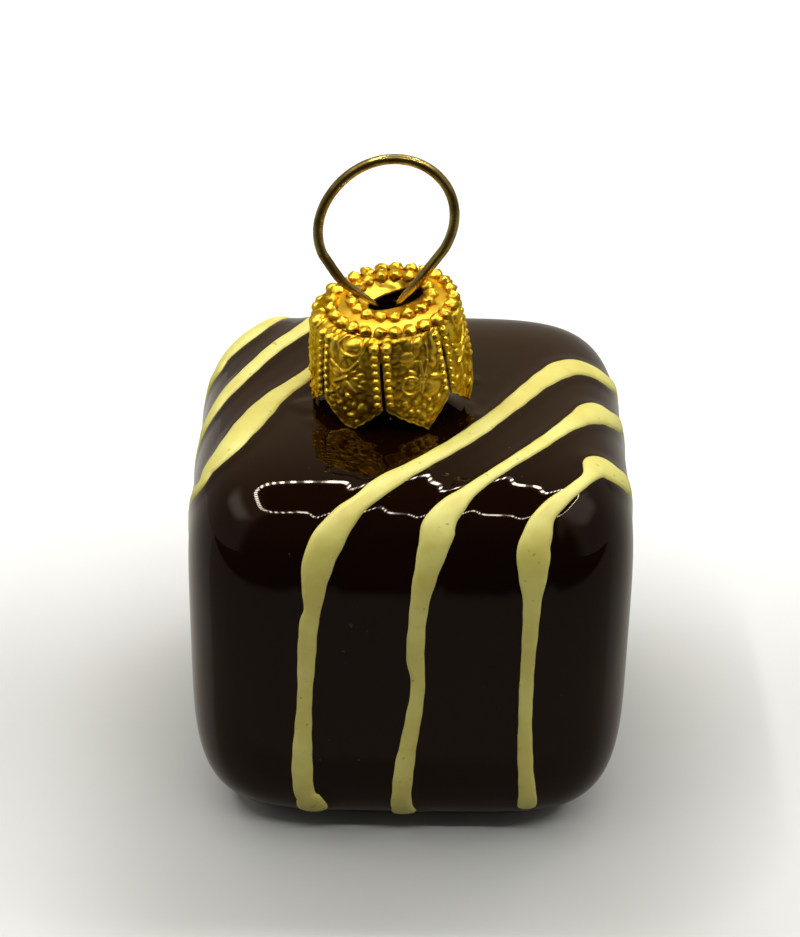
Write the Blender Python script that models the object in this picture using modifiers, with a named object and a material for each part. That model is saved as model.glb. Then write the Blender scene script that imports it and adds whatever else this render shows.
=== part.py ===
"""A hanging ornament of blown glass, shaped and lacquered as a drizzled chocolate bonbon.

It has three pieces: the glass body with its neck and its raised icing lines, the
embossed crown cap that sits over the neck, and the sprung wire loop that passes
through the cap into the neck. Sizes are in millimetres until a shape is placed.
The origin is the middle of the flat spot that the body rests on, +Z is up, and the
face with three long icing lines looks along -Y.
"""

import math

import bmesh
import bpy
from mathutils import Matrix, Vector

MM = 0.001

# Body: a cube with superellipse sections
WIDTH = 32.0
HEIGHT = 29.8
GIRTH_SHARE = 0.473
PLAN_POWER = 5.15
UPPER_POWER = 5.13
LOWER_POWER = 4.8
FLAT_SPOT_DEPTH = 0.12
CELLS_PER_SIDE = 14
EDGE_CROWDING = 0.5

HALF_WIDTH = WIDTH / 2
GIRTH = HEIGHT * GIRTH_SHARE
MIDDLE = Vector((0.0, 0.0, GIRTH))
SLOPE_PROBE = 0.01

# Icing: a rounded bead that stands a little proud of the glass
RELIEF_BASE = 0.20
RELIEF_PER_WIDTH = 0.08
ICING_STEP = 1.5
ICING_SIDES = 3
ICING_END_SHARE = 0.1

# Cap: it leans left and nods forward on the neck; its heights are counted along its own axis
CAP_FOOT = Vector((-1.42, -0.95, 30.05))
CAP_LEAN = 5.0
CAP_NOD = 4.0
CAP_STEPS = 36
SHEET = 0.35
SEAT_HEIGHT = 29.92
PLATE_SHIFT = 0.5
PLATE_SHIFT_FROM = 7.0
PLATE_SHIFT_TO = 7.7
BEAD_DIAMETER = 0.92
OUTER_BEADS = 25
OUTER_BEAD_RING = 4.24
OUTER_BEAD_HEIGHT = 7.8
INNER_BEADS = 17
INNER_BEAD_RING = 2.78
INNER_BEAD_HEIGHT = 8.05
PETALS = 7
FIRST_PETAL = -119.5
PETAL_BOTTOM = 0.1
PETAL_TIP_RADIUS = 5.82
PETAL_TIP_HALF_WIDTH = 0.2
SLIT_WIDTH = 0.3
SLIT_TOP = 6.0
SLIT_FOOT = 2.2
BOSS_RADIUS = 5.2
BOSS_HEIGHT = 6.65
BOSS_HALF_SIZES = (0.42, 0.75, 0.58)
SLOT_HALF_LENGTH = 2.0
SLOT_HALF_WIDTH = 1.3
SLOT_TURN = 23.0
SLOT_SHIFT = (0.29, 0.6)
CUT_DEPTH = 4.0

# Neck: a short glass tube with a flared foot, a rounded lip and a blind bore
NECK_AXIS = Vector((-1.6, -1.3, 0.0))
NECK_RADIUS = 3.8
NECK_TOP = 36.4
NECK_LIP = 0.3
NECK_FLARE = 1.2
NECK_FLARE_STEPS = 4
NECK_STEPS = 32
BORE_RADIUS = 2.9
BORE_FLOOR = 30.4

# Wire loop: a slightly oval ring that runs into two legs
WIRE_DIAMETER = 0.7
LOOP_MIDDLE = Vector((-2.06, -1.5, 43.59))
LOOP_RADIUS = 4.745
LOOP_OVAL = 0.35
LOOP_OVAL_AZIMUTH = 54.2
LOOP_ENDS = (-25.0, 209.0)
LOOP_STEP = 7.0

# Two meshes closer than this are one point
WELD = 0.01


def clear_scene():
    for thing in list(bpy.data.objects):
        bpy.data.objects.remove(thing, do_unlink=True)


def new_collection(name):
    collection = bpy.data.collections.new(name)
    bpy.context.scene.collection.children.link(collection)
    return collection


def finish(name, colour, roughness, metallic):
    material = bpy.data.materials.new(name)
    material.use_nodes = True
    shader = material.node_tree.nodes["Principled BSDF"]
    shader.inputs["Base Color"].default_value = (*colour, 1.0)
    shader.inputs["Roughness"].default_value = roughness
    shader.inputs["Metallic"].default_value = metallic
    return material


def add_object(name, data, collection, matrix=None):
    thing = bpy.data.objects.new(name, data)
    if matrix is not None:
        thing.matrix_world = matrix
    collection.objects.link(thing)
    return thing


def shade(thing, material, crease=35.0):
    thing.data.materials.clear()
    thing.data.materials.append(material)
    thing.data.shade_smooth()
    thing.data.set_sharp_from_angle(angle=math.radians(crease))


def apply_modifier(thing, modifier):
    bpy.context.view_layer.objects.active = thing
    bpy.ops.object.modifier_apply(modifier=modifier.name)


def fuse(thing, additions, solver="EXACT"):
    """Join every object of a collection to thing and remove the collection's objects."""
    union = thing.modifiers.new("Fuse", "BOOLEAN")
    union.operation = "UNION"
    union.operand_type = "COLLECTION"
    union.collection = additions
    union.solver = solver
    apply_modifier(thing, union)
    for addition in list(additions.objects):
        bpy.data.objects.remove(addition, do_unlink=True)
    bpy.data.collections.remove(additions)


def as_cutter(thing):
    thing.hide_render = True
    thing.display_type = "WIRE"
    return thing


def curve_to_mesh(curve_object, collection):
    """Replace a curve object by a closed mesh of the same shape."""
    bpy.context.view_layer.update()
    graph = bpy.context.evaluated_depsgraph_get()
    mesh = bpy.data.meshes.new_from_object(curve_object.evaluated_get(graph))
    welded = bmesh.new()
    welded.from_mesh(mesh)
    bmesh.ops.remove_doubles(welded, verts=welded.verts, dist=WELD * MM / 10)
    bmesh.ops.recalc_face_normals(welded, faces=welded.faces)
    welded.to_mesh(mesh)
    welded.free()
    name = curve_object.name
    matrix = curve_object.matrix_world.copy()
    bpy.data.objects.remove(curve_object, do_unlink=True)
    return add_object(name, mesh, collection, matrix)


def tube(name, points, radii, sides, collection):
    """A round tube through points in millimetres; sides is the curve's bevel resolution."""
    curve = bpy.data.curves.new(name, "CURVE")
    curve.dimensions = "3D"
    curve.bevel_depth = MM
    curve.bevel_resolution = sides
    curve.use_fill_caps = True
    spline = curve.splines.new("POLY")
    spline.points.add(len(points) - 1)
    for control, point, radius in zip(spline.points, points, radii):
        control.co = (*(point * MM), 1.0)
        control.radius = radius
    return add_object(name, curve, collection)


def smooth_route(knots, step):
    """Points about step apart on a smooth curve through knots of any dimension."""
    knots = [Vector(knot) for knot in knots]
    padded = [2 * knots[0] - knots[1], *knots, 2 * knots[-1] - knots[-2]]
    route = []
    for before, start, end, after in zip(padded, padded[1:], padded[2:], padded[3:]):
        pieces = max(1, round((end - start).length / step))
        for piece in range(pieces):
            t = piece / pieces
            route.append(
                0.5
                * (
                    2 * start
                    + (end - before) * t
                    + (2 * before - 5 * start + 4 * end - after) * t**2
                    + (3 * start - before - 3 * end + after) * t**3
                )
            )
    route.append(knots[-1])
    return route


def gauge(offset):
    """1 on the body's surface, less inside it, for an offset from the body's middle."""
    power = UPPER_POWER if offset.z > 0 else LOWER_POWER
    reach = HEIGHT - GIRTH if offset.z > 0 else GIRTH + FLAT_SPOT_DEPTH
    plan = abs(offset.x / HALF_WIDTH) ** PLAN_POWER + abs(offset.y / HALF_WIDTH) ** PLAN_POWER
    return (plan ** (power / PLAN_POWER) + abs(offset.z / reach) ** power) ** (1 / power)


def on_surface(point):
    offset = point - MIDDLE
    surface = MIDDLE + offset / gauge(offset)
    surface.z = max(surface.z, 0.0)
    return surface


def outward(surface):
    """Unit normal of the body at a surface point, from the slope of the gauge."""
    offset = surface - MIDDLE
    steps = Matrix.Identity(3) * SLOPE_PROBE
    slope = [gauge(offset + step) - gauge(offset - step) for step in steps]
    return Vector(slope).normalized()


def glass_body(collection):
    shape = bmesh.new()
    bmesh.ops.create_cube(shape, size=2.0)
    bmesh.ops.subdivide_edges(
        shape, edges=shape.edges, cuts=CELLS_PER_SIDE - 1, use_grid_fill=True
    )
    for vertex in shape.verts:
        crowded = [
            (1 - EDGE_CROWDING) * t + EDGE_CROWDING * math.sin(t * math.pi / 2)
            for t in vertex.co
        ]
        vertex.co = on_surface(MIDDLE + Vector(crowded)) * MM
    mesh = bpy.data.meshes.new("bonbon")
    shape.to_mesh(mesh)
    shape.free()
    return add_object("bonbon", mesh, collection)


def turned(name, profile, steps, collection, place):
    """A turned shape about its local Z; profile is (radius, height) down its outer side."""
    mesh = bpy.data.meshes.new(name)
    mesh.from_pydata(
        [(radius * MM, 0.0, height * MM) for radius, height in profile],
        [(index, index + 1) for index in range(len(profile) - 1)],
        [],
    )
    thing = add_object(name, mesh, collection, place)
    screw = thing.modifiers.new("Turn", "SCREW")
    screw.steps = steps
    screw.render_steps = steps
    screw.use_merge_vertices = True
    screw.merge_threshold = WELD * MM
    apply_modifier(thing, screw)
    return thing


def neck(collection):
    """The glass neck: a flared foot on the body, a rounded lip and a blind bore."""
    flare = []
    for step in range(NECK_FLARE_STEPS + 1):
        turn = step / NECK_FLARE_STEPS * math.pi / 2
        radius = NECK_RADIUS + NECK_FLARE * (1 - math.cos(turn))
        flare.append((radius, HEIGHT + NECK_FLARE * (1 - math.sin(turn))))
    profile = [
        (0.0, BORE_FLOOR),
        (BORE_RADIUS, BORE_FLOOR),
        (BORE_RADIUS, NECK_TOP - NECK_LIP),
        (BORE_RADIUS + NECK_LIP, NECK_TOP),
        (NECK_RADIUS - NECK_LIP, NECK_TOP),
        (NECK_RADIUS, NECK_TOP - NECK_LIP),
        *flare,
        (NECK_RADIUS + NECK_FLARE, HEIGHT - NECK_FLARE),
        (0.0, HEIGHT - NECK_FLARE),
    ]
    return turned("neck", profile, NECK_STEPS, collection, Matrix.Translation(NECK_AXIS * MM))


# Icing lines as (x, y, z, width), from the foot on one side over the top to the other
ICING_LINES = {
    "front_line_left": (
        (-7.2, -15.2, 3.0, 1.7),
        (-7.3, -15.4, 4.4, 1.6),
        (-7.5, -15.9, 8.9, 1.3),
        (-7.3, -15.9, 13.2, 0.9),
        (-7.0, -15.9, 19.5, 1.2),
        (-6.7, -15.9, 21.5, 1.0),
        (-6.1, -15.2, 25.7, 2.3),
        (-5.4, -14.7, 26.8, 2.2),
        (-3.2, -13.0, 28.5, 1.4),
        (-1.9, -11.9, 29.0, 1.6),
        (0.8, -9.8, 29.5, 1.3),
        (3.7, -6.9, 29.7, 1.5),
        (6.6, -2.9, 29.7, 1.5),
        (9.5, 1.7, 29.6, 1.8),
        (11.7, 4.4, 29.1, 2.1),
        (14.4, 5.3, 27.3, 1.5),
        (15.8, 5.4, 22.0, 1.0),
        (16.0, 5.1, 14.0, 1.2),
        (15.8, 5.5, 8.0, 0.9),
        (15.1, 5.2, 3.4, 1.6),
    ),
    "front_line_middle": (
        (-0.6, -15.0, 2.6, 1.4),
        (-0.5, -15.2, 3.6, 1.5),
        (-0.2, -15.9, 8.0, 1.2),
        (0.6, -16.0, 14.5, 0.85),
        (0.4, -16.0, 18.0, 1.1),
        (0.7, -15.9, 22.6, 1.2),
        (1.5, -14.8, 26.7, 2.0),
        (2.0, -14.2, 27.6, 2.2),
        (2.8, -13.4, 28.3, 1.8),
        (4.6, -11.8, 29.1, 1.0),
        (8.5, -7.5, 29.3, 1.1),
        (11.2, -3.9, 29.2, 1.4),
        (13.1, -1.1, 28.5, 2.1),
        (14.5, 0.2, 27.2, 1.3),
        (15.8, 0.1, 21.5, 0.9),
        (16.0, -0.3, 13.5, 1.1),
        (15.7, 0.2, 7.5, 1.0),
        (15.1, 0.1, 3.2, 1.5),
    ),
    "front_line_right": (
        (8.8, -15.1, 3.2, 1.1),
        (8.4, -15.8, 8.1, 0.95),
        (8.2, -15.9, 14.5, 0.8),
        (8.3, -15.8, 21.7, 1.1),
        (8.3, -15.3, 25.3, 2.0),
        (8.5, -14.7, 26.6, 2.1),
        (9.3, -13.3, 28.0, 1.4),
        (12.0, -10.2, 28.6, 1.0),
        (12.9, -8.3, 28.5, 1.9),
        (14.7, -7.4, 26.7, 1.2),
        (15.7, -7.2, 21.0, 0.9),
        (15.9, -7.5, 13.0, 1.1),
        (15.6, -7.1, 7.5, 0.9),
        (15.0, -7.3, 3.6, 1.4),
    ),
    "back_line_right": (
        (-15.0, -8.5, 3.5, 1.5),
        (-15.6, -8.4, 8.0, 0.9),
        (-15.8, -8.7, 15.0, 1.1),
        (-15.7, -8.4, 22.0, 0.9),
        (-14.8, -8.6, 26.4, 1.2),
        (-14.1, -8.0, 27.5, 1.5),
        (-12.9, -6.7, 28.5, 1.8),
        (-11.7, -4.5, 29.1, 1.9),
        (-9.9, -1.3, 29.5, 1.7),
        (-7.9, 1.3, 29.7, 1.3),
        (-4.6, 6.6, 29.7, 1.2),
        (-1.2, 12.0, 29.0, 1.4),
        (0.2, 14.3, 27.4, 2.1),
        (0.5, 15.8, 22.0, 1.0),
        (0.2, 16.0, 13.5, 1.2),
        (0.6, 15.7, 7.5, 0.9),
        (0.4, 15.1, 3.3, 1.5),
    ),
    "back_line_middle": (
        (-15.1, -0.3, 3.3, 1.4),
        (-15.8, -0.6, 8.0, 1.0),
        (-16.0, -0.2, 15.0, 1.1),
        (-15.8, -0.5, 21.5, 0.9),
        (-15.0, -0.4, 26.3, 1.4),
        (-13.6, 1.3, 28.1, 1.7),
        (-12.1, 3.3, 29.0, 1.5),
        (-10.3, 6.0, 29.4, 1.4),
        (-8.2, 9.1, 29.5, 1.5),
        (-6.6, 12.6, 28.7, 1.8),
        (-6.2, 14.7, 26.8, 1.7),
        (-6.4, 15.8, 21.5, 1.0),
        (-6.1, 15.9, 13.5, 1.1),
        (-6.4, 15.6, 7.5, 0.9),
        (-6.2, 15.1, 3.5, 1.5),
    ),
    "back_line_left": (
        (-15.0, 6.1, 3.4, 1.4),
        (-15.7, 5.8, 8.5, 0.9),
        (-15.9, 6.2, 15.0, 1.1),
        (-15.8, 5.9, 21.5, 1.0),
        (-14.7, 6.3, 26.8, 1.4),
        (-14.2, 7.5, 27.4, 1.7),
        (-12.8, 8.9, 28.4, 2.0),
        (-11.3, 11.0, 28.7, 1.6),
        (-10.3, 13.2, 27.9, 1.6),
        (-9.9, 14.7, 26.2, 1.4),
        (-10.1, 15.6, 21.0, 0.9),
        (-9.9, 15.8, 13.5, 1.0),
        (-10.2, 15.5, 7.5, 0.9),
        (-10.0, 14.9, 3.6, 1.4),
    ),
}


def icing_line(name, knots, collection):
    """A tube sunk in the glass, so that a low rounded strip of the right width shows."""
    route = smooth_route(knots, ICING_STEP)
    places = [on_surface(sample.to_3d()) for sample in route]
    reach = [0.0]
    for place, following in zip(places, places[1:]):
        reach.append(reach[-1] + (following - place).length)
    centres = []
    radii = []
    for place, sample, along in zip(places, route, reach):
        width = sample[3]
        relief = RELIEF_BASE + RELIEF_PER_WIDTH * width
        from_end = min(along, reach[-1] - along)
        rounding = max(0.0, 1 - 2 * from_end / width)
        taper = math.sqrt(max(ICING_END_SHARE, 1 - rounding**2))
        radius = (width**2 / 4 + relief**2) / (2 * relief)
        centres.append(place - outward(place) * (radius - relief) * taper)
        radii.append(radius * taper)
    return curve_to_mesh(tube(name, centres, radii, ICING_SIDES, collection), collection)


def cap_place(azimuth=0.0, out=0.0, across=0.0, height=0.0):
    """Where a part of the cap stands: turned about the cap's leaning axis, then moved."""
    place = Matrix.Translation(CAP_FOOT * MM)
    place @= Matrix.Rotation(math.radians(CAP_NOD), 4, "X")
    place @= Matrix.Rotation(math.radians(-CAP_LEAN), 4, "Y")
    place @= Matrix.Rotation(math.radians(azimuth), 4, "Z")
    return place @ Matrix.Translation(Vector((out, across, height)) * MM)


def bead_ring(name, count, ring_radius, height, collection):
    """Beads about the shifted top plate, with a gap between two of them on the left."""
    shape = bmesh.new()
    for bead in range(count):
        azimuth = math.pi + 2 * math.pi * (bead + 0.5) / count
        place = Vector((ring_radius * math.cos(azimuth), ring_radius * math.sin(azimuth), 0.0))
        bmesh.ops.create_uvsphere(
            shape,
            u_segments=6,
            v_segments=4,
            radius=BEAD_DIAMETER / 2 * MM,
            matrix=Matrix.Translation(place * MM),
        )
    mesh = bpy.data.meshes.new(name)
    shape.to_mesh(mesh)
    shape.free()
    return add_object(name, mesh, collection, cap_place(out=PLATE_SHIFT, height=height))


def cap_shell(collection):
    """The cap's sheet: a dished top plate, which stands to one side, over a flared skirt."""
    plate = [(0.0, 7.35), (2.25, 7.35), (2.55, 7.8), (3.4, 7.9), (4.25, 7.65), (4.7, 7.35)]
    shoulder = (5.1, 7.0)
    skirt = [(5.36, 6.3), (5.5, 5.1), (5.64, 3.7), (5.76, 2.0), (PETAL_TIP_RADIUS, PETAL_BOTTOM)]
    inside = [(radius - SHEET, height) for radius, height in reversed(skirt)]
    inside.append((shoulder[0] - SHEET, shoulder[1] - SHEET / 2))
    inside.extend((radius, height - SHEET) for radius, height in reversed(plate))
    profile = [*plate, shoulder, *skirt, *inside]
    shell = turned("crown_cap", profile, CAP_STEPS, collection, cap_place())
    place = shell.matrix_world
    for vertex in shell.data.vertices:
        rise = (vertex.co.z / MM - PLATE_SHIFT_FROM) / (PLATE_SHIFT_TO - PLATE_SHIFT_FROM)
        vertex.co.x += PLATE_SHIFT * min(max(rise, 0.0), 1.0) * MM
        standing = place @ vertex.co
        standing.z = max(standing.z, SEAT_HEIGHT * MM)
        vertex.co = place.inverted() @ standing
    return shell


def boss(name, azimuth, collection):
    """The oval boss at the top of a petal."""
    shape = bmesh.new()
    bmesh.ops.create_uvsphere(shape, u_segments=8, v_segments=5, radius=MM)
    stretch = Matrix.Diagonal((*BOSS_HALF_SIZES, 1.0))
    bmesh.ops.transform(shape, matrix=stretch, verts=shape.verts)
    mesh = bpy.data.meshes.new(name)
    shape.to_mesh(mesh)
    shape.free()
    place = cap_place(azimuth, out=BOSS_RADIUS, height=BOSS_HEIGHT)
    return add_object(name, mesh, collection, place)


def outline_prism(name, outline, near, far, azimuth, collection):
    """An upright outline of (across, height) points, extruded outwards from near to far."""
    curve = bpy.data.curves.new(name, "CURVE")
    curve.dimensions = "2D"
    curve.fill_mode = "BOTH"
    curve.extrude = (far - near) / 2 * MM
    spline = curve.splines.new("POLY")
    spline.points.add(len(outline) - 1)
    spline.use_cyclic_u = True
    for control, (across, height) in zip(spline.points, outline):
        control.co = (across * MM, height * MM, 0.0, 1.0)
    across_height_out = Matrix(((0, 0, 1, 0), (1, 0, 0, 0), (0, 1, 0, 0), (0, 0, 0, 1)))
    place = cap_place(azimuth, out=(near + far) / 2) @ across_height_out
    return curve_to_mesh(add_object(name, curve, collection, place), collection)


def petal_gaps(collection):
    """One cutter between each two petals: a narrow slit that opens to a wide V."""
    half_pitch = math.pi / PETALS * PETAL_TIP_RADIUS - PETAL_TIP_HALF_WIDTH
    below = PETAL_BOTTOM - SHEET
    outline = (
        (-SLIT_WIDTH / 2, SLIT_TOP),
        (-SLIT_WIDTH / 2, SLIT_FOOT),
        (-half_pitch, PETAL_BOTTOM),
        (-half_pitch, below),
        (half_pitch, below),
        (half_pitch, PETAL_BOTTOM),
        (SLIT_WIDTH / 2, SLIT_FOOT),
        (SLIT_WIDTH / 2, SLIT_TOP),
    )
    near = PETAL_TIP_RADIUS - CUT_DEPTH / 2
    far = PETAL_TIP_RADIUS + CUT_DEPTH / 2
    for number in range(PETALS):
        azimuth = FIRST_PETAL + (number + 0.5) * 360 / PETALS
        as_cutter(
            outline_prism(f"petal_gap_{number}", outline, near, far, azimuth, collection)
        )


def wire_slot(collection):
    """The oval hole in the cap's dished top."""
    shape = bmesh.new()
    bmesh.ops.create_cone(
        shape, cap_ends=True, segments=24, radius1=MM, radius2=MM, depth=CUT_DEPTH * MM
    )
    stretch = Matrix.Diagonal((SLOT_HALF_LENGTH, SLOT_HALF_WIDTH, 1.0, 1.0))
    bmesh.ops.transform(shape, matrix=stretch, verts=shape.verts)
    mesh = bpy.data.meshes.new("wire_slot")
    shape.to_mesh(mesh)
    shape.free()
    along, back = SLOT_SHIFT
    place = cap_place(out=PLATE_SHIFT + along, across=back, height=OUTER_BEAD_HEIGHT)
    place @= Matrix.Rotation(math.radians(SLOT_TURN), 4, "Z")
    return as_cutter(add_object("wire_slot", mesh, collection, place))


def crown_cap(collection, cutters):
    cap = cap_shell(collection)
    trim = new_collection("cap_trim")
    bead_ring("outer_beads", OUTER_BEADS, OUTER_BEAD_RING, OUTER_BEAD_HEIGHT, trim)
    bead_ring("inner_beads", INNER_BEADS, INNER_BEAD_RING, INNER_BEAD_HEIGHT, trim)
    for number in range(PETALS):
        boss(f"boss_{number}", FIRST_PETAL + number * 360 / PETALS, trim)
    fuse(cap, trim)
    petal_gaps(cutters)
    wire_slot(cutters)
    for cutter in cutters.objects:
        cut = cap.modifiers.new(cutter.name, "BOOLEAN")
        cut.operation = "DIFFERENCE"
        cut.object = cutter
    return cap


def wire_loop(collection):
    """The loop's oval ring, then each leg down through the slot, splayed inside the neck."""
    first, last = LOOP_ENDS
    turns = round((last - first) / LOOP_STEP)
    ring = []
    for turn in range(turns + 1):
        azimuth = math.radians(first + (last - first) * turn / turns)
        radius = LOOP_RADIUS + LOOP_OVAL * math.cos(2 * azimuth - 2 * math.radians(LOOP_OVAL_AZIMUTH))
        ring.append(LOOP_MIDDLE + Vector((radius * math.cos(azimuth), 0.0, radius * math.sin(azimuth))))
    depth = LOOP_MIDDLE.y
    right_leg = [
        Vector((0.0, depth, 31.2)),
        Vector((-1.05, depth, 35.6)),
        Vector((-1.2, depth, 37.0)),
        Vector((-0.9, depth, 37.9)),
        Vector((0.4, depth, 39.5)),
        ring[0],
    ]
    left_leg = [
        ring[-1],
        Vector((-5.2, depth, 39.3)),
        Vector((-4.2, depth, 38.55)),
        Vector((-3.1, depth, 38.0)),
        Vector((-2.25, depth, 37.4)),
        Vector((-2.1, depth, 36.6)),
        Vector((-2.3, depth, 35.6)),
        Vector((-3.3, depth, 31.2)),
    ]
    step = math.radians(LOOP_STEP) * LOOP_RADIUS
    points = smooth_route(right_leg, step)[:-1] + ring + smooth_route(left_leg, step)[1:]
    radii = [WIRE_DIAMETER / 2] * len(points)
    return tube("wire_loop", points, radii, 2, collection)


def bonbon(collection):
    body = glass_body(collection)
    relief = new_collection("relief")
    neck(relief)
    for name, knots in ICING_LINES.items():
        icing_line(name, knots, relief)
    fuse(body, relief)
    return body


def main():
    clear_scene()
    ornament = new_collection("bonbon_ornament")
    cutters = new_collection("cutters")
    lacquer = finish("dark_lacquer", (0.022, 0.012, 0.009), 0.06, 0.0)
    gold = finish("gold_sheet", (0.78, 0.52, 0.10), 0.25, 1.0)
    brass = finish("aged_brass", (0.30, 0.21, 0.07), 0.35, 1.0)
    shade(bonbon(ornament), lacquer)
    shade(crown_cap(ornament, cutters), gold)
    wire_loop(ornament).data.materials.append(brass)


main()
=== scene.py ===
"""Looks for a blown-glass ornament shaped as a drizzled chocolate bonbon.

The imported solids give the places. Here the body becomes glossy dark lacquer over glass,
the icing lines become raised satin enamel, the cap becomes thin embossed gilt sheet with
bead rings, and the loop becomes browned brass wire. Sizes are in millimetres until a mesh
is made. The front looks along -Y, and azimuths are counted from +X towards +Y.
"""

import math

import bmesh
import bpy
import numpy as np
from mathutils import Matrix, Vector, kdtree, noise


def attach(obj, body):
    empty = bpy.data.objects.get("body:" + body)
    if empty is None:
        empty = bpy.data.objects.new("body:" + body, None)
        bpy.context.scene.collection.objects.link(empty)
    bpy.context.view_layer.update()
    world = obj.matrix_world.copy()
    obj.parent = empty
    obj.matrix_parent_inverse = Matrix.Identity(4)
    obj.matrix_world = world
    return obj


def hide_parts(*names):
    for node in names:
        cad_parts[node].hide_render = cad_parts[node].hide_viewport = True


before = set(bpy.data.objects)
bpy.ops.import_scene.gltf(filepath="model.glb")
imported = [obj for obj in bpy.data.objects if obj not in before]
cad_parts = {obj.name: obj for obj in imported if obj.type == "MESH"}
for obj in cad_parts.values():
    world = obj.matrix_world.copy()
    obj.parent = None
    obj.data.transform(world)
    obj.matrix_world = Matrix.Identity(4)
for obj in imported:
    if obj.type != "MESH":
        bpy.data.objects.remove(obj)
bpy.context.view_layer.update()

MM = 0.001

# Body: a cube with superellipse sections, as in the solid
WIDTH = 32.0
HEIGHT = 29.8
GIRTH_SHARE = 0.473
PLAN_POWER = 5.15
UPPER_POWER = 5.13
LOWER_POWER = 4.8
FLAT_SPOT_DEPTH = 0.12
EDGE_CROWDING = 0.3
CELLS_PER_SIDE = 110
HALF_WIDTH = WIDTH / 2
GIRTH = HEIGHT * GIRTH_SHARE
MIDDLE = np.array((0.0, 0.0, GIRTH))

# Lacquer: slow waves in the blown glass, and a small bank of lacquer along each icing line
WAVE_LENGTH = 8.0
WAVE_DEPTH = 0.02
BANK_HEIGHT = 0.09
BANK_REACH = 0.55

# Lacquer pooled round the neck, with an uneven edge
POOL_HEIGHT = 0.1
POOL_REACH = 6.6
POOL_UNEVEN = 1.6
POOL_WAVE_LENGTH = 1.6
POOL_EDGE = 0.7

# Icing
RELIEF_BASE = 0.20
RELIEF_PER_WIDTH = 0.08
ICING_STEP = 0.22
ICING_ACROSS = 14
ICING_ROOT = 0.12
ICING_FULLNESS = 2.4
ICING_WOBBLE = 0.05
ICING_END = 0.4
ICING_END_THICKNESS = 0.02
ICING_SAG = 0.13
ICING_SAG_HEIGHT = 26.0
ICING_SAG_BLEND = 2.0

# The icing thins where it runs down the left and right sides
SIDE_START = 15.0
SIDE_BLEND = 0.5
SIDE_THINNING = 0.5

# Points of every turned ring
RING_POINTS = 144

# Cap: it leans left and nods forward on the neck; its heights are counted along its own axis
CAP_FOOT = np.array((-1.42, -0.95, 30.05))
CAP_LEAN = 5.0
CAP_NOD = 4.0
SHEET = 0.16
SEAT_HEIGHT = 29.92
PLATE_SHIFT = 0.5
BEAD_DIAMETER = 1.04
OUTER_BEADS = 25
OUTER_BEAD_RING = 4.24
OUTER_BEAD_HEIGHT = 7.68
INNER_BEADS = 17
INNER_BEAD_RING = 2.78
INNER_BEAD_HEIGHT = 7.98
PETALS = 7
FIRST_PETAL = -119.5
PETAL_BOTTOM = 0.15
SLIT_WIDTH = 0.2
SLIT_TOP = 6.0
SLIT_FOOT = 2.2
SHOULDER_FOOT = 7.0
SHOULDER_TOP = 7.5
SKIRT = (
    (SHOULDER_TOP, 4.5),
    (7.4, 4.7),
    (7.24, 4.88),
    (SHOULDER_FOOT, 5.04),
    (6.7, 5.15),
    (6.3, 5.27),
    (5.1, 5.42),
    (3.7, 5.58),
    (2.0, 5.7),
    (0.1, 5.76),
)
SCALLOPS = 4.0
SCALLOP_DEPTH = 0.1
TIP_SKEWS = (-0.06, 0.16)
TIP_POWER = 0.95
EDGE_ROLL = 0.12
EDGE_ROLL_WIDTH = 0.22
SHEET_WARP = 0.05
RELIEF_FADE = 0.12
# Painted shade on the gilt: a mark this high is fully bright, and the top darkens within this reach
# of the bead rings
UNSHADED_GILT_RISE = 0.19
BEAD_SHADE_REACH = 0.6
ORNAMENT_LIFT = 0.35
PEBBLE_RISE = 0.07
PEBBLES_PER_MM = 1.5
BORDER_STUDS = 8
BORDER_INSET = 0.42
BORDER_TOP = 6.5
BORDER_STEP = 0.6
BORDER_SLANT = 45.0
RIM_RISE = 0.1
SLOT_HALF_LENGTH = 2.15
SLOT_HALF_WIDTH = 1.05
SLOT_TURN = 29.0
SLOT_SHIFT = (0.25, 0.75)

# Beads: studs between a ball and an octahedron, a little flattened
STUD_POWER = 1.65
STUD_FLATNESS = 0.85
STUD_UNEVEN = 0.3
STUD_WAVES = 1.7
BEAD_SHIFT = 0.06
BEAD_SIZE_VARIATION = 0.1
DRIFT_OFFSETS = (Vector((0.0, 0.0, 0.0)), Vector((31.4, 5.9, 0.0)), Vector((0.0, 27.2, 8.3)))

# Neck: a short glass tube whose flared foot ends just under the glass
NECK_AXIS = np.array((-1.6, -1.3, 0.0))
NECK_RADIUS = 3.8
NECK_TOP = 36.4
NECK_LIP = 0.3
NECK_FLARE = 1.1
NECK_FLARE_REACH = 2.0
NECK_FLARE_UNEVEN = 0.5
NECK_FLARE_STEPS = 14
NECK_FLARE_SINK = 0.01
NECK_WAVE_RING = 4.5
NECK_WAVE_LENGTH = 2.2
BORE_RADIUS = 2.9
BORE_FLOOR = 30.4

# Wire loop: its legs thin a little towards the slot
WIRE_DIAMETER = 0.7
WIRE_SIDES = 20
WIRE_THIN_FOOT = 36.9
WIRE_THIN_TOP = 39.6
WIRE_THIN_SHARE = 0.45
LOOP_MIDDLE = np.array((-2.06, -1.5, 43.59))
LOOP_RADIUS = 4.745
LOOP_OVAL = 0.35
LOOP_OVAL_AZIMUTH = 54.2
LOOP_ENDS = (-25.0, 209.0)
LOOP_STEP = 2.0

# Studio: the lamp strip's sizes are shares of the ceiling's height
FLOOR_SIZE = 3.0
LEAST_SHARE = 0.02
HORIZON = 0.05
LAMP_MIDDLE = (0.15, -0.07)
LAMP_HALF = (0.66, 0.45)
LAMP_CORNER = 0.25
LAMP_SPACING = 0.06
LAMP_POWER = (43.0, 70.0)
LAMP_TINT = (1.0, 1.0, 0.98)

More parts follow.
